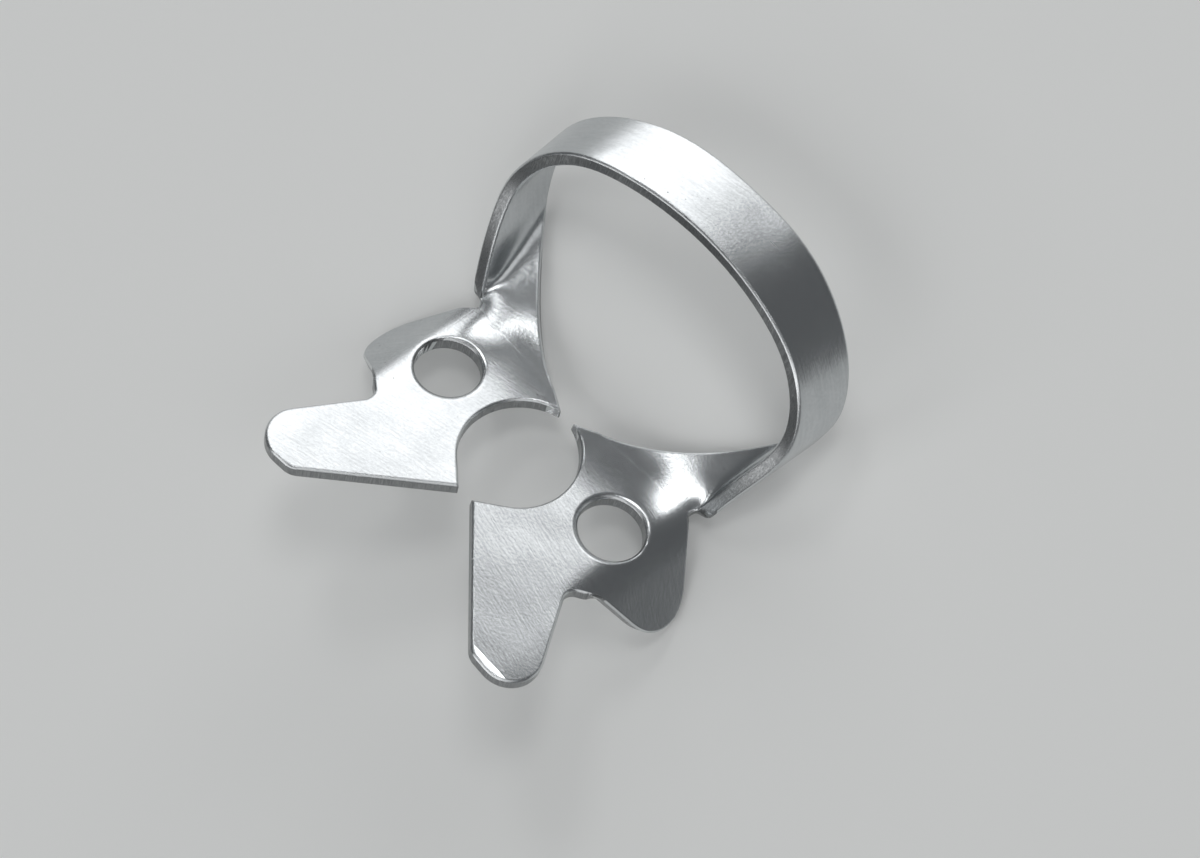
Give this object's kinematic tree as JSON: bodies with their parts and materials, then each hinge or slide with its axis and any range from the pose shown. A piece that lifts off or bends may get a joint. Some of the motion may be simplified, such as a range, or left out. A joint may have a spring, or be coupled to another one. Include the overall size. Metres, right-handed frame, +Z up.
{
  "type": "rubber dam clamp",
  "caption": "Winged dental dam clamp folded from one steel sheet: notched jaws with forceps holes and wings, joined by a springy raised bow.",
  "frame": {"origin": "middle of the footprint, on the surface that the side wings and the heels of the bow rest on", "axes": "+X across the clamp from jaw to jaw, +Y from the jaws back to the bow, +Z up"},
  "size_m": [0.021, 0.0252, 0.009],
  "materials": {
    "steel": "polished stainless spring steel with fine polishing scratches"
  },
  "bodies": {
    "root": {"clamp": "steel"}
  },
  "joints": []
}
